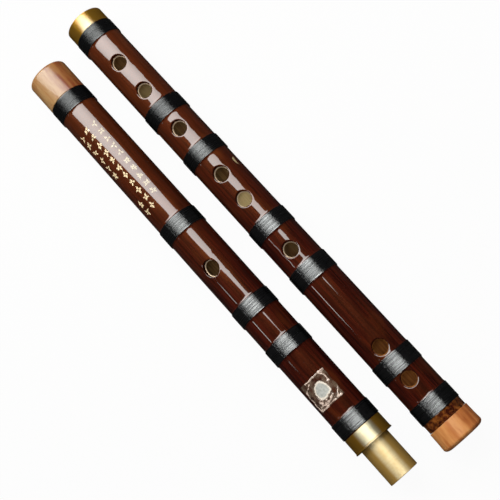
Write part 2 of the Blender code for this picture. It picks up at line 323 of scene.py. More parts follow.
class Tube:
    """A bamboo tube as one closed mesh: an outside and a bore, joined by rounded holes."""

    def __init__(self, outside, inside, holes):
        stations = {station for station, _ in outside}
        first, last = outside[0][0], outside[-1][0]
        count = round((last - first) / ROW_SPACING)
        stations |= {first + (last - first) * k / count for k in range(1, count)}
        for hole in holes:
            reach = hole.half_length + BLOCK_MARGIN
            for k in range(BLOCK_ROWS + 1):
                stations.add(round(hole.station - reach + 2 * reach * k / BLOCK_ROWS, 7))
        self.outside = with_rows(outside, sorted(stations))
        self.inside = with_rows(inside, sorted(stations))
        self.vertices = []
        self.faces = []
        self.outer_rows = [self.add_row(p) for p in self.outside]
        self.inner_rows = [self.add_row(p) for p in self.inside]
        self.skipped = set()
        for hole in holes:
            self.add_hole(hole)
        self.add_grid()

    def add_row(self, point):
        first = len(self.vertices)
        station, radius = point
        for c in range(COLUMNS):
            self.vertices.append(polar(station, radius, math.tau * c / COLUMNS))
        return list(range(first, first + COLUMNS))

    def add_grid(self):
        loop = self.outer_rows + self.inner_rows
        for r, row in enumerate(loop):
            other = loop[(r + 1) % len(loop)]
            for c in range(COLUMNS):
                if (row[0], c) in self.skipped:
                    continue
                d = (c + 1) % COLUMNS
                self.faces.append((row[c], row[d], other[d], other[c]))

    def block(self, profile, rows, hole):
        """Takes a hole's block out of the grid and returns its edge as (vertex, station, angle)."""
        reach = hole.half_length + BLOCK_MARGIN + TINY
        picked = [r for r, p in enumerate(profile) if abs(p[0] - hole.station) < reach]
        step = math.tau / COLUMNS
        low = math.ceil((hole.angle - hole.half_block) / step - TINY)
        high = math.floor((hole.angle + hole.half_block) / step + TINY)
        for r in picked[:-1]:
            for c in range(low, high):
                self.skipped.add((rows[r][0], c % COLUMNS))
        if profile[picked[0]][0] > profile[picked[-1]][0]:
            picked.reverse()
        edge = [(picked[0], c) for c in range(low, high)]
        edge += [(r, high) for r in picked[:-1]]
        edge += [(picked[-1], c) for c in range(high, low, -1)]
        edge += [(r, low) for r in reversed(picked[1:])]
        return [(rows[r][c % COLUMNS], profile[r][0], c * step) for r, c in edge]

    def add_hole(self, hole):
        station, half_length, half_width, angle, _, rim = hole
        outer_edge = self.block(self.outside, self.outer_rows, hole)
        inner_edge = self.block(self.inside, self.inner_rows, hole)
        mean = radius_at(self.outside, station)
        turns = [
            math.atan2(mean * (a - angle) / half_width, (s - station) / half_length)
            for _, s, a in outer_edge
        ]

        def point(turn, grow, depth, from_outside):
            along = station + (half_length + grow) * math.cos(turn)
            across = (half_width + grow) * math.sin(turn)
            if from_outside:
                radius = radius_at(self.outside, along) - depth
            else:
                radius = radius_at(self.inside, along) + depth
            return along, radius, angle + math.asin(max(-1.0, min(1.0, across / radius)))

        def ring(grow, depth, from_outside):
            return self.add_ring([point(t, grow, depth, from_outside) for t in turns])

        def flat_rings(edge, grow, from_outside, shares):
            rings = []
            rim_points = [point(t, grow, 0.0, from_outside) for t in turns]
            for share in shares:
                places = []
                for (_, s, a), (rim_s, _, rim_a) in zip(edge, rim_points):
                    along = s + (rim_s - s) * share
                    profile = self.outside if from_outside else self.inside
                    places.append((along, radius_at(profile, along), a + (rim_a - a) * share))
                rings.append(self.add_ring(places))
            return rings

        rings = [[v for v, _, _ in outer_edge]]
        rings += flat_rings(outer_edge, rim, True, (0.4, 0.7, 0.88))
        for k in range(RIM_STEPS + 1):
            bend = math.radians(90.0 * k / RIM_STEPS)
            rings.append(ring(rim * (1 - math.sin(bend)), rim * (1 - math.cos(bend)), True))
        for depth in (0.5 * (rim + LEDGE_DEPTH), LEDGE_DEPTH - 0.12 * MM, LEDGE_DEPTH):
            rings.append(ring(0.0, depth, True))
        for inwards, drop in LEDGE_CURVE:
            rings.append(ring(-LEDGE * inwards, LEDGE_DEPTH + drop * MM, True))
        for bend in (math.radians(90.0), math.radians(60.0), math.radians(30.0), 0.0):
            grow = BORE_RIM * (1 - math.sin(bend)) - LEDGE
            rings.append(ring(grow, BORE_RIM * (1 - math.cos(bend)), False))
        rings += flat_rings(inner_edge, BORE_RIM - LEDGE, False, (0.75, 0.4))
        rings.append([v for v, _, _ in inner_edge])
        for first, second in zip(rings, rings[1:]):
            for i in range(len(first)):
                j = (i + 1) % len(first)
                self.faces.append((first[i], first[j], second[j], second[i]))

    def add_ring(self, places):
        first = len(self.vertices)
        self.vertices += [polar(*place) for place in places]
        return list(range(first, len(self.vertices)))

    def mesh(self, name, wander):
        """The mesh, with the slow waviness of real bamboo on its outside."""
        vertices = []
        for x, y, z in self.vertices:
            radius = math.hypot(y, z)
            swell = noise.noise(Vector((x * 14.0 + wander, y * 60.0, z * 60.0))) * WAVES
            share = 1.0 + swell * max(0.0, (radius - WAVES_FROM) / WAVES_RISE) / radius
            vertices.append((x, y * share, z * share))
        return mesh_from(name, vertices, self.faces)


# --- bamboo ---
def with_lacquer_fillets(outline, edges):
    """The bamboo's outside, rising a little where lacquer pools against a binding.

    edges is a list of (station of the binding's edge, side the bamboo lies on: -1 or 1).
    """
    rows = list(outline)
    for edge, side in edges:
        base = radius_at(outline, edge)
        for away, rise in LACQUER_FILLET:
            rows.append((edge + side * away * MM, base + rise * MM))
    return sorted(rows)


def head_tube_mesh(section, bindings):
    edges = [(bindings[0][1], 1)]
    for first, last in bindings[1:-1]:
        edges += [(first, -1), (last, 1)]
    edges.append((bindings[-1][0], -1))
    left, right, _ = section.span("head_bamboo_tube")
    seat = section.span("joint_tenon")[0] - GLUE
    shoulder, ferrule = HEAD_BAMBOO[0][0], HEAD_BAMBOO[-1][0]
    outside = [(left, SPIGOT), (shoulder, SPIGOT)]
    outside += with_lacquer_fillets(HEAD_BAMBOO, edges)
    outside += [(ferrule, SEAT), (right, SEAT)]
    inside = [(right, TENON_SEAT), (seat, TENON_SEAT), (seat, BORE), (left, BORE)]
    return Tube(outside, inside, (BLOW_HOLE, MEMBRANE_HOLE)).mesh("head_bamboo", 3.0)


def body_tube_mesh(section, bindings):
    edges = [(bindings[0][1], 1)]
    for first, last in bindings[1:]:
        edges += [(first, -1), (last, 1)]
    left, right, _ = section.span("body_bamboo_tube")
    seat = section.span("joint_socket_liner")[1] + GLUE
    ferrule, shoulder = BODY_BAMBOO[0][0], BODY_BAMBOO[-1][0]
    outside = [(left, SEAT), (ferrule, SEAT)]
    outside += with_lacquer_fillets(BODY_BAMBOO, edges)
    outside += [(shoulder, SPIGOT), (right, SPIGOT)]
    inside = [(right, BORE), (seat, BORE), (seat, LINER_SEAT), (left, LINER_SEAT)]
    holes = [
        Hole(station, HALF_LENGTH, HALF_WIDTH, 0.0, HOLE_BLOCK, FINGER_RIM)
        for station in FINGER_STATIONS + VENT_STATIONS
    ]
    for side in (-1, 1):
        angle = math.pi + side * BACK_VENT_SPREAD
        half = BACK_VENT_RADIUS
        holes.append(Hole(BACK_VENT_STATION, half, half, angle, BACK_BLOCK, BLOW_RIM))
    return Tube(outside, inside, holes).mesh("body_bamboo", 11.0)


# --- thread ---
def thread_mesh(name, first, last, outline, seed):
    """One binding: a single thread wound in a tight helix, a little uneven as by hand."""
    turns = max(1, round((last - first - THREAD_WIDTH) / THREAD_PITCH))
    pitch = (last - first - THREAD_WIDTH) / turns
    half = THREAD_WIDTH / 2
    steps = (turns + 1) * THREAD_STEPS
    vertices = []
    rings = []
    for i in range(steps + 1):
        turn = i / THREAD_STEPS
        angle = math.tau * turn
        travel = min(max(turn - 0.5, 0.0), turns)
        place = Vector((turn * 0.9 + seed, math.cos(angle) * 0.4, math.sin(angle) * 0.4))
        station = first + half + travel * pitch + noise.noise(place) * THREAD_WANDER
        lift = noise.noise(place + Vector((40.0, 0.0, 0.0))) * THREAD_LIFT
        radius = radius_at(outline, station) + THREAD_WIDTH - THREAD_CROWN + lift
        ring = []
        for k in range(THREAD_SIDES):
            around = math.tau * k / THREAD_SIDES
            rise = THREAD_CROWN if math.sin(around) > 0.0 else THREAD_WIDTH - THREAD_CROWN
            ring.append(len(vertices))
            along = station + half * math.cos(around)
            vertices.append(polar(along, radius + rise * math.sin(around), angle))
        rings.append(ring)
    faces = [tuple(rings[0]), tuple(reversed(rings[-1]))]
    for ring, other in zip(rings, rings[1:]):
        for k in range(THREAD_SIDES):
            n = (k + 1) % THREAD_SIDES
            faces.append((ring[k], ring[n], other[n], other[k]))
    return mesh_from(name, vertices, faces)


def add_bindings(section, prefix, count, outline, material):
    spans = []
    for number in range(1, count + 1):
        node = f"{prefix}_binding_{number}"
        first, last, _ = section.span(node)
        spans.append((first, last))
        name = f"{prefix}_thread_{number}"
        mesh = thread_mesh(name, first, last, outline, rng.uniform(0.0, 90.0))
        add_piece(name, mesh, section, material, "thread", node, crease=THREAD_CREASE)
    return spans


# --- end rings, brass and cork ---
def add_turned(name, section, material, slot, node, corners, steps=5):
    """A turned piece in place of one CAD node, from (station, radius, rounding) corners."""
    mesh = turned(name, filleted(corners, steps))
    add_piece(name, mesh, section, material, slot, node)


def add_end_rings(head, body, pale, amber):
    first, last, radius = head.span("head_end_ring")
    inner = head.span("head_bamboo_tube")[0] - GLUE
    add_turned("head_ring", head, pale, "bone", "head_end_ring", [
        (last, radius, 0.15 * MM),
        (first, radius, HEAD_RING_ROUNDING),
        (first, BORE, BORE_ROUNDING),
        (inner, BORE, 0.0),
        (inner, SPIGOT + GLUE, 0.0),
        (last, SPIGOT + GLUE, 0.0),
    ], 8)

    first, last, radius = body.span("tail_end_ring")
    inner = body.span("body_bamboo_tube")[1] + GLUE
    dome = []
    for k in range(DOME_STEPS + 1):
        bend = math.radians(90.0 * k / DOME_STEPS)
        station = last - DOME_LENGTH * (1.0 - math.sin(bend))
        dome.append((station, radius - DOME_HEIGHT * (1.0 - math.cos(bend)), 0.0))
    add_turned("tail_ring", body, amber, "bone", "tail_end_ring", dome + [
        (last, BORE, BORE_ROUNDING),
        (inner, BORE, 0.0),
        (inner, SPIGOT + GLUE, 0.0),
        (first, SPIGOT + GLUE, 0.0),
        (first, radius - TAIL_WAIST, 0.25 * MM),
        ((first + last) / 2, radius - TAIL_MIDDLE, 0.0),
    ], 8)


def add_brass(head, body, polished, satin):
    first, last, radius = head.span("head_joint_ferrule")
    sleeve = radius - BEAD_HEIGHT
    add_turned("head_ferrule", head, polished, "brass", "head_joint_ferrule", [
        (first, sleeve, 0.2 * MM),
        (first, SEAT + GLUE, 0.0),
        (last - END_WALL, SEAT + GLUE, 0.0),
        (last - END_WALL, TENON_SEAT, 0.0),
        (last, TENON_SEAT, 0.1 * MM),
        (last, radius, 0.43 * MM),
        (last - BEAD, radius, 0.40 * MM),
        (last - BEAD, sleeve, 0.15 * MM),
    ], 6)

    first, last, radius = head.span("joint_tenon")
    add_turned("tenon", head, satin, "brass", "joint_tenon", [
        (last, radius, 0.30 * MM),
        (last, BORE, 0.15 * MM),
        (first, BORE, 0.1 * MM),
        (first, radius, 0.1 * MM),
    ])

    first, last, radius = body.span("joint_socket_ferrule")
    add_turned("socket_ferrule", body, polished, "brass", "joint_socket_ferrule", [
        (last, radius, 0.15 * MM),
        (first, radius, 0.55 * MM),
        (first, LINER_SEAT, 0.05 * MM),
        (first + END_WALL, LINER_SEAT, 0.0),
        (first + END_WALL, SEAT + GLUE, 0.0),
        (last, SEAT + GLUE, 0.0),
    ], 6)

    first, last, radius = body.span("joint_socket_liner")
    bore = radius - LINER_WALL
    add_turned("socket_liner", body, satin, "brass", "joint_socket_liner", [
        (last, radius, 0.05 * MM),
        (first, radius, 0.10 * MM),
        (first, bore, 0.25 * MM),
        (last, bore, 0.05 * MM),
    ])


def add_stopper(head, material):
    first, last, radius = head.span("stopper_cork")
    edge = CORK_ROUNDING
    outline = [(last, 0.0), (last, 0.5 * radius)]
    for start, side, bends in ((last, 1, range(90, -1, -15)), (first, -1, range(0, 91, 15))):
        for bend in map(math.radians, bends):
            station = start - side * (edge - edge * math.sin(bend))
            outline.append((station, radius - edge + edge * math.cos(bend)))
    outline += [(first, 0.5 * radius), (first, 0.0)]
    mesh = turned("stopper", outline, closed=False)
    piece = add_piece("stopper", mesh, head, material, "cork", "stopper_cork")
    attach(piece, "stopper")


# --- film and gold work ---
def film_lift(u, v):
    """How far the film stands off, 0 to 1, at a place on it."""
    here = Vector((u, v))
    wobble = Vector((
        noise.noise(Vector((u * 3.1, v * 3.1, 2.0))),
        noise.noise(Vector((u * 3.1, v * 3.1, 9.0))),
    ))
    here += wobble * 0.07
    lift = 0.0
    for start, end, half_width in FILM_CREASES:
        line = Vector(end) - Vector(start)
        share = min(max((here - Vector(start)).dot(line) / line.length_squared, 0.0), 1.0)
        away = (here - Vector(start) - line * share).length
        lift = max(lift, math.exp(-(away / half_width) ** 2))
    broken = 0.70 + 1.1 * noise.noise(Vector((u * 5.5, v * 5.5, 4.0)))
    return min(max(lift * broken, 0.0), 1.0)


def add_film(head, material):
    """The membrane: a thin crinkled square, glued round the hole and free over it."""
    first, last, _ = head.span("membrane_film")
    middle = (first + last) / 2
    count = FILM_CELLS + 1
    top = []
    bottom = []
    lifts = []
    for i in range(count):
        for j in range(count):
            u = 2.0 * i / FILM_CELLS - 1.0
            v = 2.0 * j / FILM_CELLS - 1.0
            ragged_u = noise.noise(Vector((v * 2.2, 7.0, math.copysign(3.0, u)))) * FILM_RAGGED
            ragged_v = noise.noise(Vector((u * 2.2, 19.0, math.copysign(3.0, v)))) * FILM_RAGGED
            station = middle + (last - first) / 2 * u * (1.0 + ragged_u) * FILM_TRIM
            angle = FILM_HALF_ANGLE * v * (1.0 + ragged_v)
            base = radius_at(HEAD_BAMBOO, station)
            across = base * math.sin(angle - DISC_ANGLE)
            from_disc = math.hypot(station - MEMBRANE_HOLE.station, across) / DISC_RADIUS
            lift = film_lift(u, v) if from_disc > 1.0 else 0.0
            lifts.append(lift)
            crinkle = noise.noise(Vector((station * 2600.0, angle * 2.5, 1.0)))
            height = FILM_GAP + FILM_CRINKLE * crinkle + FILM_RISE * lift
            if from_disc < 1.0:
                height -= DISC_SAG * (1.0 - from_disc ** 2)
            top.append(polar(station, base + height + FILM_THICKNESS, angle))
            bottom.append(polar(station, base + height, angle))
    cells = count * count
    faces = []
    for i in range(FILM_CELLS):
        for j in range(FILM_CELLS):
            a = i * count + j
            faces.append((a, a + 1, a + count + 1, a + count))
            faces.append((cells + a, cells + a + count, cells + a + count + 1, cells + a + 1))
    for k in range(FILM_CELLS):
        last_row = FILM_CELLS * count
        for a, b in (
            (k, k + 1),
            (last_row + k + 1, last_row + k),
            ((k + 1) * count, k * count),
            (k * count + FILM_CELLS, (k + 1) * count + FILM_CELLS),
        ):
            faces.append((b, a, cells + a, cells + b))
    mesh = mesh_from("film", top + bottom, faces)
    mesh.attributes.new("lift", "FLOAT", "POINT").data.foreach_set("value", lifts + lifts)
    add_piece("film", mesh, head, material, "film", "membrane_film")


class GoldWork:
    """Small painted leaves lying on the bamboo, each a thin closed shape."""

    def __init__(self, outline):
        self.outline = outline
        self.vertices = []
        self.faces = []

    def add_ribbon(self, middle_line, widths):
        """A ribbon along (station, arc) points, arc being a length round the tube from the top."""
        left, right = [], []
        for i, (station, arc) in enumerate(middle_line):
            a = middle_line[max(i - 1, 0)]
            b = middle_line[min(i + 1, len(middle_line) - 1)]
            along = Vector((b[0] - a[0], b[1] - a[1])).normalized()
            half = widths[i] / 2
            left.append((station - along.y * half, arc + along.x * half))
            right.append((station + along.y * half, arc - along.x * half))
        first = len(self.vertices)
        for lift in (GOLD_GAP, GOLD_GAP + GOLD_THICKNESS):
            for side in (left, right):
                for station, arc in side:
                    base = radius_at(self.outline, station)
                    self.vertices.append(polar(station, base + lift, arc / base))
        n = len(middle_line)
        low_left, low_right, top_left, top_right = (first + n * k for k in range(4))
        for i in range(n - 1):
            for a, b in (
                (low_right, low_left), (top_left, top_right),
                (low_left, top_left), (top_right, low_right),
            ):
                self.faces.append((a + i, a + i + 1, b + i + 1, b + i))
        for i in (0, n - 1):
            self.faces.append((low_left + i, low_right + i, top_right + i, top_left + i))

    def add_leaf(self, station, arc, length, width, heading, bend):
        """A pointed leaf that starts at (station, arc) and curves by bend along its length."""
        line, widths = [], []
        x, y = station, arc
        for k in range(LEAF_STEPS + 1):
            share = k / LEAF_STEPS
            line.append((x, y))
            swell = math.sin(math.pi * share ** 0.7) ** 1.2
            widths.append(width * max(swell, 0.06))
            x += length / LEAF_STEPS * math.cos(heading + bend * share)
            y += length / LEAF_STEPS * math.sin(heading + bend * share)
        self.add_ribbon(line, widths)

    def add_sprig(self, station, arc):
        """A sprig of three to five short leaves round one point, of uneven size."""
        count = rng.choice((3, 4, 4, 5))
        first = rng.uniform(0.0, math.tau)
        for k in range(count):
            heading = first + math.tau * k / count + rng.uniform(-0.35, 0.35)
            x = station + SPRIG_EYE * math.cos(heading)
            y = arc + SPRIG_EYE * math.sin(heading)
            length = (1.25 + 0.95 * abs(math.cos(heading)) + rng.uniform(-0.2, 0.3)) * MM
            width = rng.uniform(0.9, 1.25) * MM
            self.add_leaf(x, y, length, width, heading, rng.uniform(-0.9, 0.9))

    def add_row(self, start, count, angle):
        arc = radius_at(self.outline, start) * angle
        for k in range(count):
            station = start + SPRIG_SPACING * k + rng.uniform(-0.2, 0.2) * MM
            self.add_sprig(station, arc + rng.uniform(-0.25, 0.25) * MM)

    def mesh(self, name):
        return mesh_from(name, self.vertices, self.faces)


def add_gold(head, body, material):
    work = GoldWork(HEAD_BAMBOO)
    for start, count, angle in SPRIG_ROWS:
        work.add_row(start, count, angle)
    add_piece("head_gold_sprigs", work.mesh("head_gold_sprigs"), head, material, "bamboo")
    leaf = GoldWork(BODY_BAMBOO)
    arc = radius_at(BODY_BAMBOO, BODY_LEAF_STATION) * BODY_LEAF_ANGLE
    leaf.add_leaf(BODY_LEAF_STATION, arc, length=6.2 * MM, width=1.6 * MM, heading=0.75, bend=-1.5)
    add_piece("body_gold_leaf", leaf.mesh("body_gold_leaf"), body, material, "bamboo")


# --- materials ---
class Shader:
    """Builds one material. A value given to a node may be a number, a colour or a node's output."""

    def __init__(self, name):
        self.material = bpy.data.materials.new(name)
        self.material.use_nodes = True
        self.tree = self.material.node_tree
        self.surface = self.tree.nodes["Principled BSDF"]
        self.output = self.tree.nodes["Material Output"]
        self.place = self.node("ShaderNodeTexCoord").outputs["Object"]
        x, y, z = self.node("ShaderNodeSeparateXYZ", {"Vector": self.place}).outputs
        self.station = x
        self.aside = y
        self.radius = self.length(y, z)
        self.angle = self.math("ARCTAN2", self.math("MULTIPLY", y, -1.0), z)

    def node(self, kind, inputs=None, **settings):
        node = self.tree.nodes.new(kind)
        for name, value in settings.items():
            setattr(node, name, value)
        for name, value in (inputs or {}).items():
            self.feed(node.inputs[name], value)
        return node

    def feed(self, socket, value):
        if isinstance(value, bpy.types.NodeSocket):
            self.tree.links.new(value, socket)
        elif isinstance(value, tuple) and len(value) == 3 and socket.type == "RGBA":
            socket.default_value = (*value, 1.0)
        else:
            socket.default_value = value

    def math(self, operation, *values, clamp=False):
        node = self.node("ShaderNodeMath", operation=operation, use_clamp=clamp)
        for socket, value in zip(node.inputs, values):
            self.feed(socket, value)
        return node.outputs[0]

    def length(self, a, b):
        return self.math("SQRT", self.math("MULTIPLY_ADD", a, a, self.math("MULTIPLY", b, b)))

    def stretch(self, x, y, z):
        """The piece's own coordinates, multiplied."""
        inputs = {0: self.place, 1: (x, y, z)}
        return self.node("ShaderNodeVectorMath", inputs, operation="MULTIPLY").outputs[0]

    def noise(self, vector, scale, detail=4.0, roughness=0.55, distortion=0.0):
        inputs = {
            "Vector": vector, "Scale": scale, "Detail": detail,
            "Roughness": roughness, "Distortion": distortion,
        }
        return self.node("ShaderNodeTexNoise", inputs).outputs[0]

    def band(self, value, low, high, to_low=0.0, to_high=1.0):
        """Maps low..high of a value smoothly to to_low..to_high, and holds the ends."""
        inputs = {0: value, 1: low, 2: high, 3: to_low, 4: to_high}
        return self.node("ShaderNodeMapRange", inputs, interpolation_type="SMOOTHSTEP").outputs[0]

    def mix(self, share, first, second):
        node = self.node("ShaderNodeMix", data_type="RGBA")
        self.feed(node.inputs[0], share)
        self.feed(node.inputs[6], first)
        self.feed(node.inputs[7], second)
        return node.outputs[2]

    def bump(self, height, distance):
        inputs = {"Height": height, "Distance": distance, "Strength": 1.0}
        return self.node("ShaderNodeBump", inputs).outputs[0]

    def finish(self, **inputs):
        for name, value in inputs.items():
            self.feed(self.surface.inputs[name.replace("_", " ")], value)
        return self.material


def bamboo_material(name, light_patches):
    """Dark red-brown lacquer, and bare bamboo in the bore and low on the walls of the holes, with
    painted light on parts of the bore and low in the holes.
    """
    s = Shader(name)
    fibres = s.noise(s.stretch(0.03, 1.0, 1.0), 3200.0, 5.0, 0.6)
    streaks = s.noise(s.stretch(0.05, 1.0, 1.0), 700.0, 4.0, 0.55)
    clouds = s.noise(s.stretch(0.25, 1.0, 1.0), 130.0, 3.0, 0.5)
    dark = (0.011, 0.0011, 0.0006)
    red = (0.036, 0.0033, 0.0012)
    amber = (0.078, 0.0160, 0.0028)
    lacquer = s.mix(s.band(streaks, 0.34, 0.66), dark, red)
    paler = s.band(s.station, 30.0 * MM, 190.0 * MM, 0.46, 0.0)
    paler = s.math("MULTIPLY_ADD", s.band(clouds, 0.48, 0.74), 0.45, paler, clamp=True)
    lacquer = s.mix(paler, lacquer, amber)
    lacquer = s.mix(s.band(fibres, 0.45, 0.75, 0.0, 0.40), lacquer, dark)
    tail = s.band(s.station, 286.0 * MM, 288.5 * MM)
    spots = s.band(s.noise(s.place, 420.0, 3.0, 0.6, 0.4), 0.38, 0.75)
    lacquer = s.mix(s.math("MULTIPLY", tail, spots), lacquer, (0.20, 0.060, 0.010))
    edge = s.math("MULTIPLY_ADD", s.noise(s.place, 900.0, 3.0), 0.3 * MM, BARE_WOOD)
    bare = s.math("LESS_THAN", s.radius, edge)
    wood = s.mix(s.band(streaks, 0.3, 0.7), (0.080, 0.036, 0.014), (0.165, 0.095, 0.034))
    # painted pools of light on the bore: paler bamboo where light would fall through a hole
    for station, reach, share in light_patches:
        away = s.math("ABSOLUTE", s.math("SUBTRACT", s.station, station))
        lit_patch = s.band(away, 0.5 * reach, reach, share, 0.0)
        wood = s.mix(lit_patch, wood, (0.80, 0.62, 0.30))
    wood = s.mix(s.band(fibres, 0.45, 0.7, 0.0, 0.4), wood, (0.30, 0.17, 0.07))
    # a pale ring low in each hole's wall: partly bare cut wood, partly a painted highlight
    cut_wood_and_highlight_ring = s.band(s.radius, 8.15 * MM, 8.35 * MM)
    wood = s.mix(cut_wood_and_highlight_ring, wood, (0.68, 0.51, 0.35))
    stained = s.mix(s.band(streaks, 0.3, 0.7), (0.16, 0.050, 0.014), (0.34, 0.13, 0.032))
    wood = s.mix(s.band(s.station, 215.0 * MM, 240.0 * MM), wood, stained)
    colour = s.mix(bare, lacquer, wood)
    height = s.math("MULTIPLY_ADD", fibres, 0.5, streaks)
    normal = s.bump(height, 0.010 * MM)
    rough = s.band(streaks, 0.3, 0.7, 0.34, 0.46)
    rough = s.mix(bare, rough, (0.62, 0.62, 0.62))
    coat = s.math("SUBTRACT", 1.0, bare)
    return s.finish(
        Base_Color=colour, Roughness=rough, Normal=normal, IOR=1.50,
        Specular_Tint=(0.45, 0.14, 0.04), Coat_Weight=coat, Coat_Roughness=0.04, Coat_IOR=1.65,
    )


def thread_material():
    """Black silk under lacquer, which lies thicker on some turns and towards +X."""
    s = Shader("black_silk_thread")
    turn = s.math("MULTIPLY_ADD", s.station, 26000.0, s.math("MULTIPLY", s.angle, 190.0))
    twist = s.math("SINE", turn)
    fuzz = s.noise(s.place, 5200.0, 3.0)
    strands = s.noise(s.stretch(1.0, 0.03, 0.03), 1100.0, 3.0, 0.7)
    colour = s.mix(s.band(strands, 0.35, 0.7), (0.0005, 0.0005, 0.0006), (0.0022, 0.0022, 0.0026))
    normal = s.bump(s.math("MULTIPLY_ADD", fuzz, 0.8, twist), 0.0010 * MM)
    coat = s.band(s.station, 50.0 * MM, 180.0 * MM, 0.18, 1.0)
    coat = s.math("MULTIPLY", coat, s.band(strands, 0.38, 0.62, 0.50, 1.0))
    return s.finish(
        Base_Color=colour, Roughness=s.band(strands, 0.38, 0.62, 0.28, 0.18), Normal=normal,
        Specular_IOR_Level=0.5, Coat_Weight=coat, Coat_Roughness=0.06, Coat_IOR=2.4,
    )


def bone_material(name, pale, deep, dark, stain_and_shade, coat):
    """Old lacquered bone with lengthwise streaks.

    stain_and_shade is how much the side towards +Y is darkened, partly by a real stain and partly
    as painted shade.
    """
    s = Shader(name)
    grain = s.noise(s.stretch(0.10, 1.0, 1.0), 1500.0, 5.0, 0.6)
    streaks = s.noise(s.stretch(0.22, 1.0, 1.0), 330.0, 3.0, 0.5)
    cloud = s.noise(s.stretch(0.7, 1.0, 1.0), 110.0, 3.0)
    # the side towards +Y is darkened: partly a real stain, partly painted shade
    side = s.math("MULTIPLY_ADD", s.math("SUBTRACT", cloud, 0.5), 1.2, s.angle)
    stained = s.math("MULTIPLY", s.band(side, -0.75, -0.25, 1.0, 0.0), stain_and_shade)
    colour = s.mix(s.band(streaks, 0.38, 0.66, 0.0, 0.75), pale, deep)
    colour = s.mix(s.band(grain, 0.48, 0.72, 0.0, 0.40), colour, deep)
    colour = s.mix(stained, colour, s.mix(s.band(streaks, 0.35, 0.65), deep, dark))
    normal = s.bump(grain, 0.010 * MM)
    return s.finish(
        Base_Color=colour, Roughness=0.42, Normal=normal, Subsurface_Weight=0.08,
        Subsurface_Radius=(0.0016, 0.0009, 0.0005), Coat_Weight=coat, Coat_Roughness=0.06,
        Coat_IOR=1.55,
    )


def brass_material(name, face, side, shine, roughness, marks, drawn):
    """Brass turned on a lathe: fine rings round it that draw its reflections out along the tube.

    face is the colour seen straight on, pale as a painted highlight, and side the deeper one
    towards the edges, a painted shade.
    """
    s = Shader(name)
    rings = s.noise(s.stretch(1.0, 0.02, 0.02), 5200.0, 4.0, 0.6)
    bands = s.noise(s.stretch(1.0, 0.02, 0.02), 1300.0, 3.0, 0.6)
    cloud = s.noise(s.place, 230.0, 4.0, 0.55)
    scratches = s.noise(s.stretch(0.06, 1.0, 1.0), 2600.0, 4.0, 0.6)
    # painted highlight and shade: the pale face colour where seen straight on, the deeper side
    # colour towards the edges
    facing = s.node("ShaderNodeLayerWeight", {"Blend": 0.5}).outputs["Facing"]
    colour = s.mix(s.band(facing, 0.06, 0.19), face, side)
    worn = s.math("MAXIMUM", s.band(cloud, 0.42, 0.72), s.band(bands, 0.45, 0.75))
    worn = s.math("MULTIPLY", worn, marks)
    colour = s.mix(worn, colour, side)
    rough = s.math("MULTIPLY_ADD", worn, 0.10, roughness)
    normal = s.bump(s.math("MULTIPLY_ADD", scratches, 0.6, rings), 0.0025 * MM)
    tangent = s.node("ShaderNodeTangent", direction_type="RADIAL", axis="X").outputs[0]
    return s.finish(
        Base_Color=colour, Metallic=shine, Roughness=rough, Normal=normal, Tangent=tangent,
        Anisotropic=drawn, Anisotropic_Rotation=0.25,
    )


def cork_material():
    s = Shader("cork")
    grains = s.node("ShaderNodeTexVoronoi", {"Vector": s.place, "Scale": 900.0}).outputs["Distance"]
    cloud = s.noise(s.place, 300.0, 3.0)
    colour = s.mix(s.band(cloud, 0.35, 0.65), (0.33, 0.17, 0.075), (0.52, 0.31, 0.16))
    colour = s.mix(s.band(grains, 0.05, 0.35, 0.6, 0.0), colour, (0.10, 0.045, 0.02))
    normal = s.bump(s.math("ADD", grains, cloud), 0.12 * MM)
    return s.finish(Base_Color=colour, Roughness=0.85, Normal=normal)


def film_material():
    """The reed membrane: clear where it lies flat on the lacquer, white where it lifts off."""
    s = Shader("reed_film")
    along = s.math("SUBTRACT", s.station, MEMBRANE_HOLE.station)
    aside = s.math("ADD", s.aside, HEAD_BAMBOO[-1][1] * math.sin(DISC_ANGLE))
    from_disc = s.length(along, aside)
    mottle = s.noise(s.place, 700.0, 3.0, 0.6)
    blotches = s.noise(s.place, 260.0, 3.0, 0.6)
    ragged = s.math("MULTIPLY_ADD", blotches, 3.0 * MM, s.math("SUBTRACT", from_disc, 1.5 * MM))
    disc = s.band(ragged, DISC_RADIUS - 0.6 * MM, DISC_RADIUS, 1.0, 0.0)
    rim = s.band(ragged, DISC_RADIUS - 1.6 * MM, DISC_RADIUS - 0.7 * MM)
    creases = s.noise(s.stretch(1.0, 0.5, 0.5), 1500.0, 4.0, 0.6, 0.6)
    lift = s.node("ShaderNodeAttribute", attribute_name="lift").outputs["Fac"]
    white = s.math("MULTIPLY", s.band(lift, 0.05, 0.75), s.band(creases, 0.30, 0.60, 0.30, 1.0))
    haze = s.band(blotches, 0.36, 0.66, 0.02, 0.26)
    cover = s.math("MAXIMUM", s.math("MAXIMUM", white, haze), s.math("MULTIPLY", disc, 0.86))
    clear = s.node("ShaderNodeBsdfTransparent", {"Color": (1.0, 1.0, 1.0)})
    colour = s.mix(white, (0.22, 0.15, 0.10), (0.66, 0.50, 0.42))
    cloudy = s.mix(s.band(mottle, 0.35, 0.65), (0.31, 0.31, 0.28), (0.43, 0.42, 0.39))
    colour = s.mix(disc, colour, s.mix(rim, cloudy, (0.66, 0.58, 0.49)))
    s.finish(
        Base_Color=colour, Roughness=0.30, Coat_Weight=0.5, Coat_Roughness=0.12,
        Normal=s.bump(s.math("ADD", creases, mottle), 0.04 * MM),
    )
    blend = s.node("ShaderNodeMixShader", {0: cover, 1: clear.outputs[0], 2: s.surface.outputs[0]})
    s.tree.links.new(blend.outputs[0], s.output.inputs["Surface"])
    return s.material


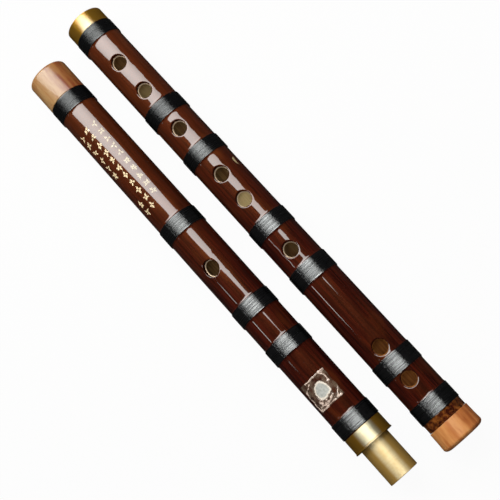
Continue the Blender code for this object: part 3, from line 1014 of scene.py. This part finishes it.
def gold_material():
    """Gold paint under the lacquer, darker from the top round towards +Y."""
    s = Shader("gold_paint")
    grain = s.noise(s.place, 2400.0, 4.0, 0.6)
    colour = s.mix(s.band(grain, 0.30, 0.52), (0.34, 0.23, 0.11), (0.66, 0.51, 0.31))
    # darker from 4 degrees off the top towards +Y, fully so beyond 18 degrees
    darker_along_top = s.band(s.angle, math.radians(-18.0), math.radians(-4.0), 0.72, 0.0)
    colour = s.mix(darker_along_top, colour, (0.16, 0.11, 0.04))
    return s.finish(
        Base_Color=colour, Roughness=s.band(grain, 0.3, 0.7, 0.40, 0.60),
        Normal=s.bump(grain, 0.004 * MM), Coat_Weight=0.9, Coat_Roughness=0.06, Coat_IOR=1.65,
    )


# --- studio ---
def picture_axes():
    """The picture's right and up directions, laid flat on the floor."""
    slope = -FLUTE_SLOPE
    right = Vector((math.cos(slope), math.sin(slope), 0.0))
    return right, Vector((-right.y, right.x, 0.0))


def camera_place(body):
    return body.axis + Vector((CAMERA_STATION, CAMERA_ASIDE, CAMERA_HEIGHT))


def add_camera(body):
    place = camera_place(body)
    target = body.axis + Vector((TARGET_STATION, TARGET_ASIDE, 0.0))
    back = (place - target).normalized()
    flute = Vector((1.0, 0.0, 0.0))
    level = (flute - back * flute.dot(back)).normalized()
    right = level * math.cos(FLUTE_SLOPE) - back.cross(level) * math.sin(FLUTE_SLOPE)
    up = back.cross(right)
    data = bpy.data.cameras.new("camera")
    data.lens = LENS
    data.sensor_width = SENSOR
    data.clip_start = 0.01
    camera = bpy.data.objects.new("camera", data)
    camera.matrix_world = Matrix((
        (right.x, up.x, back.x, place.x),
        (right.y, up.y, back.y, place.y),
        (right.z, up.z, back.z, place.z),
        (0.0, 0.0, 0.0, 1.0),
    ))
    bpy.context.scene.collection.objects.link(camera)
    bpy.context.scene.camera = camera


def add_softbox(name, body, corners, strength, mirrored=True):
    """A flat light over the flute. Corners count from the camera's foot, along the picture's axes.

    A light that isn't mirrored only lights matt surfaces, and doesn't show in gloss.
    """
    across, along = picture_axes()
    foot = camera_place(body)
    vertices = []
    for right, up in corners:
        corner = foot + across * right + along * up
        vertices.append((corner.x, corner.y, LIGHT_HEIGHT))
    mesh = bpy.data.meshes.new(name)
    mesh.from_pydata(vertices, [], [tuple(range(len(vertices)))])
    s = Shader(name)
    centre = sum((Vector(v) for v in vertices), Vector()) / len(vertices)
    inputs = {0: s.place, 1: centre}
    away = s.node("ShaderNodeVectorMath", inputs, operation="DISTANCE").outputs["Value"]
    reach = max((Vector(v) - centre).length for v in vertices)
    level = s.band(away, 0.15 * reach, 0.85 * reach, 1.25 * strength, 0.85 * strength)
    glow = s.node("ShaderNodeEmission", {"Color": (0.97, 1.0, 0.985), "Strength": level})
    s.tree.links.new(glow.outputs[0], s.output.inputs["Surface"])
    mesh.materials.append(s.material)
    light = bpy.data.objects.new(name, mesh)
    light.visible_camera = False
    light.visible_glossy = mirrored
    bpy.context.scene.collection.objects.link(light)


def floor_material():
    """White to the camera; darker in reflections, so that the lacquer keeps its dark edges."""
    s = Shader("white_floor")
    path = s.node("ShaderNodeLightPath").outputs
    colour = s.mix(path["Is Glossy Ray"], (0.40, 0.39, 0.38), (0.006, 0.006, 0.006))
    s.finish(Base_Color=colour, Roughness=0.9, Specular_IOR_Level=0.1)
    glow = s.node("ShaderNodeEmission", {"Color": (1.0, 1.0, 1.0), "Strength": 1.0})
    blend = s.node("ShaderNodeMixShader", {1: s.surface.outputs[0], 2: glow.outputs[0]})
    s.tree.links.new(s.math("MULTIPLY", path["Is Camera Ray"], 0.95), blend.inputs[0])
    s.tree.links.new(blend.outputs[0], s.output.inputs["Surface"])
    return s.material


def add_floor():
    mesh = bpy.data.meshes.new("floor")
    square = ((-1, -1), (1, -1), (1, 1), (-1, 1))
    corners = [(x * FLOOR_REACH, y * FLOOR_REACH, 0.0) for x, y in square]
    mesh.from_pydata(corners, [], [(0, 1, 2, 3)])
    mesh.materials.append(floor_material())
    floor = bpy.data.objects.new("floor", mesh)
    bpy.context.scene.collection.objects.link(floor)


def add_world(gloss, matt):
    """The room: pale behind the flute, with separate light for glossy and for matt surfaces."""
    world = bpy.data.worlds.new("studio")
    world.use_nodes = True
    tree = world.node_tree
    background = tree.nodes["Background"]
    background.inputs["Color"].default_value = (1.0, 0.98, 0.96, 1.0)
    path = tree.nodes.new("ShaderNodeLightPath").outputs
    lit = tree.nodes.new("ShaderNodeMix")
    tree.links.new(path["Is Glossy Ray"], lit.inputs[0])
    lit.inputs[2].default_value = matt
    lit.inputs[3].default_value = gloss
    seen = tree.nodes.new("ShaderNodeMix")
    tree.links.new(path["Is Camera Ray"], seen.inputs[0])
    tree.links.new(lit.outputs[0], seen.inputs[2])
    seen.inputs[3].default_value = BACKDROP
    tree.links.new(seen.outputs[0], background.inputs["Strength"])
    bpy.context.scene.world = world


def add_studio(body):
    add_floor()
    add_camera(body)
    add_world(gloss=0.02, matt=0.12)
    add_softbox("main_softbox", body, MAIN_LIGHT, strength=6.6)
    add_softbox("small_softbox", body, SMALL_LIGHT, strength=6.0)
    add_softbox("fill_softbox", body, FILL_LIGHT, strength=6.0, mirrored=False)
    bpy.context.scene.view_settings.view_transform = "Standard"


# --- the flute ---
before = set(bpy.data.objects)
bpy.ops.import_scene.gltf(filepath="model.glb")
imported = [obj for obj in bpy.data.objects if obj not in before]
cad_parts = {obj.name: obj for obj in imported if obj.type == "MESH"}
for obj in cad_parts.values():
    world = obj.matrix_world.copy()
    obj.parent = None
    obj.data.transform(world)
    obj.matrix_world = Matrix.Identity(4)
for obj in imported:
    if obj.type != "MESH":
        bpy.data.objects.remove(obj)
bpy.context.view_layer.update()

head_section = Section("head_section", "head_end_ring", "head_bamboo_tube", HEAD_ROLL)
body_section = Section("body_section", "joint_socket_ferrule", "body_bamboo_tube", 0.0)

head_lacquer = bamboo_material("head_lacquer", ())
body_lacquer = bamboo_material("body_lacquer", PAINTED_LIGHT_PATCHES)
thread = thread_material()
pale_bone = bone_material(
    "pale_bone", pale=(0.29, 0.160, 0.062), deep=(0.22, 0.088, 0.023), dark=(0.14, 0.026, 0.005),
    stain_and_shade=0.95, coat=0.38,
)
amber_bone = bone_material(
    "amber_bone", pale=(0.48, 0.20, 0.060), deep=(0.33, 0.090, 0.016), dark=(0.20, 0.040, 0.006),
    stain_and_shade=0.7, coat=0.15,
)
# face and side are the colours of a painted highlight and a painted shade
polished_brass = brass_material(
    "polished_brass", face=(1.0, 0.89, 0.61), side=(0.66, 0.33, 0.04),
    shine=0.90, roughness=0.50, marks=0.15, drawn=1.0,
)
satin_brass = brass_material(
    "satin_brass", face=(0.86, 0.68, 0.38), side=(0.62, 0.36, 0.09),
    shine=0.72, roughness=0.50, marks=0.40, drawn=0.6,
)

head_bindings = add_bindings(head_section, "head", 5, HEAD_BAMBOO, thread)
body_bindings = add_bindings(body_section, "body", 7, BODY_BAMBOO, thread)
head_tube = head_tube_mesh(head_section, head_bindings)
add_piece("head_bamboo", head_tube, head_section, head_lacquer, "bamboo", "head_bamboo_tube")
body_tube = body_tube_mesh(body_section, body_bindings)
add_piece("body_bamboo", body_tube, body_section, body_lacquer, "bamboo", "body_bamboo_tube")
add_end_rings(head_section, body_section, pale_bone, amber_bone)
add_brass(head_section, body_section, polished_brass, satin_brass)
add_stopper(head_section, cork_material())
add_film(head_section, film_material())
add_gold(head_section, body_section, gold_material())
add_studio(body_section)
